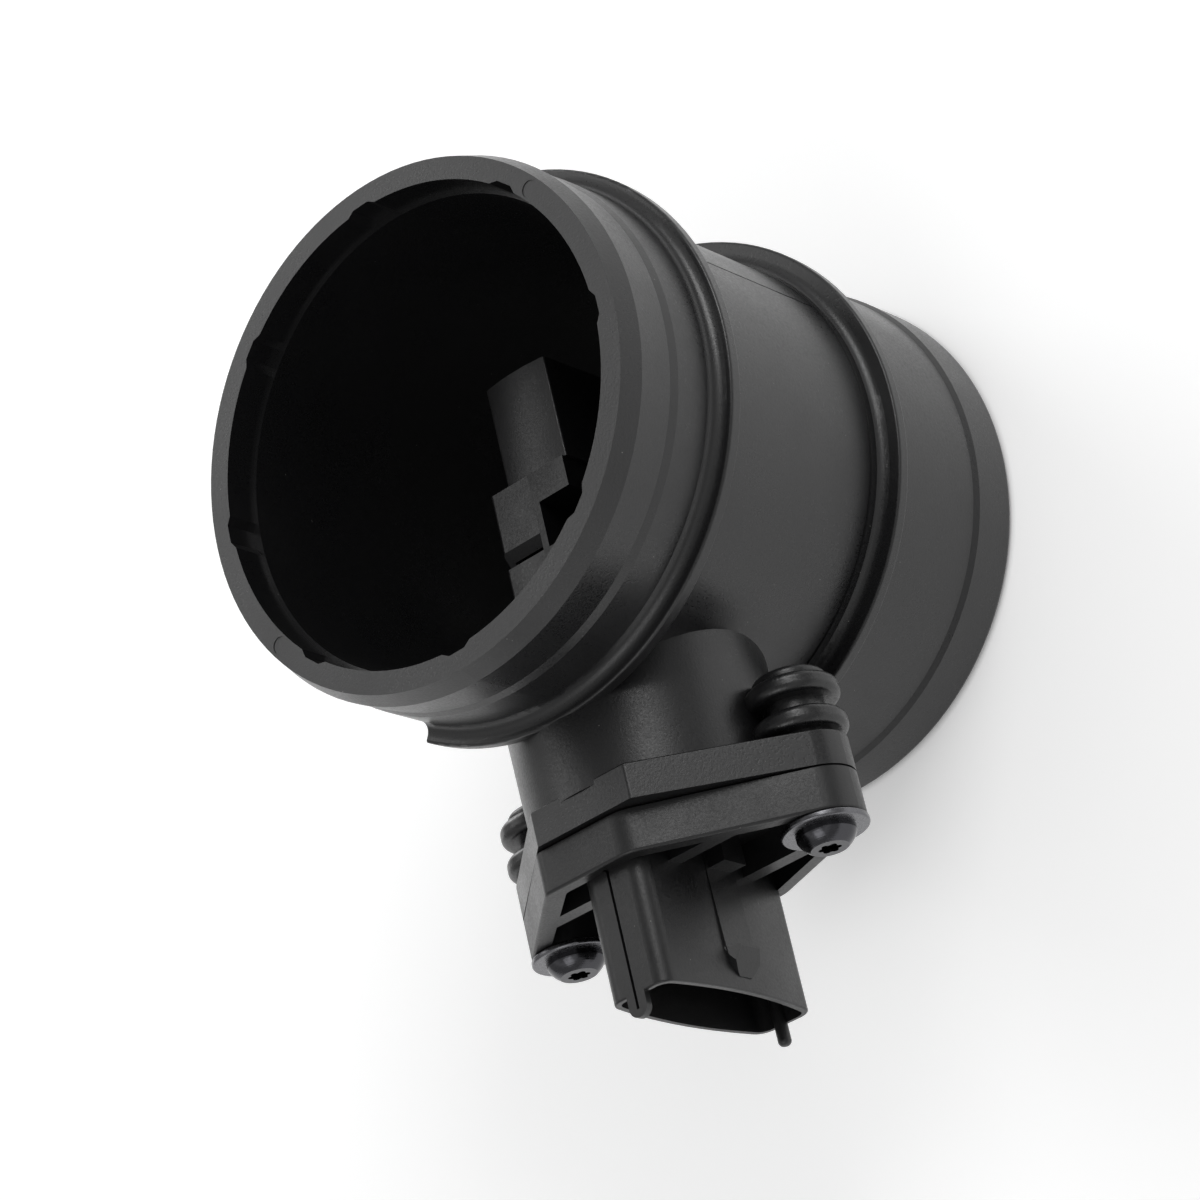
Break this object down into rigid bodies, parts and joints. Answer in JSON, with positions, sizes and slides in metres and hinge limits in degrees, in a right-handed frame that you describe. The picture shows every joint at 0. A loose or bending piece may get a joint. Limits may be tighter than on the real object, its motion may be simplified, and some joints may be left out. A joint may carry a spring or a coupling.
{
  "type": "mass airflow sensor",
  "caption": "Hot-film mass airflow sensor: a round moulded air duct with rib flanges and a side neck that carries a screwed-in sensor module with a flat electrical connector.",
  "frame": {"origin": "centre of the duct's outlet end face, which it stands on", "axes": "+Z along the duct's axis towards the inlet, against the air flow; +X towards the connector"},
  "size_m": [0.1497, 0.0988, 0.1045],
  "materials": {
    "duct_plastic": "black glass-filled moulding, fine satin",
    "module_plastic": "black glass-filled moulding, fine satin",
    "cover_plastic": "black moulding, satin",
    "terminal_metal": "tin-plated copper alloy",
    "seal_rubber": "smooth",
    "plate_aluminium": "plain",
    "board_ceramic": "fired ceramic, matt",
    "chip_silicon": "polished silicon",
    "chip_package": "moulded epoxy",
    "capacitor_ceramic": "fired ceramic",
    "thermistor_glaze": "glass-coated bead",
    "wire_metal": "bright",
    "plated_steel": "dark zinc plating"
  },
  "bodies": {
    "root": {"housing": "duct_plastic", "sensor_body": "module_plastic", "terminal_1": "terminal_metal", "terminal_2": "terminal_metal", "terminal_3": "terminal_metal", "terminal_4": "terminal_metal", "terminal_5": "terminal_metal", "seal_ring": "seal_rubber", "electronics_cover": "cover_plastic", "measuring_channel": "cover_plastic", "channel_lid": "cover_plastic", "board_plate": "plate_aluminium", "circuit_board": "board_ceramic", "chip_carrier": "board_ceramic", "sensor_chip": "chip_silicon", "signal_chip": "chip_package", "regulator_chip": "chip_package", "capacitors": "capacitor_ceramic", "resistors": "chip_package", "air_thermistor": "thermistor_glaze", "bond_wires": "wire_metal", "screw_right": "plated_steel", "screw_left": "plated_steel", "washer_right": "plated_steel", "washer_left": "plated_steel"}
  },
  "joints": []
}
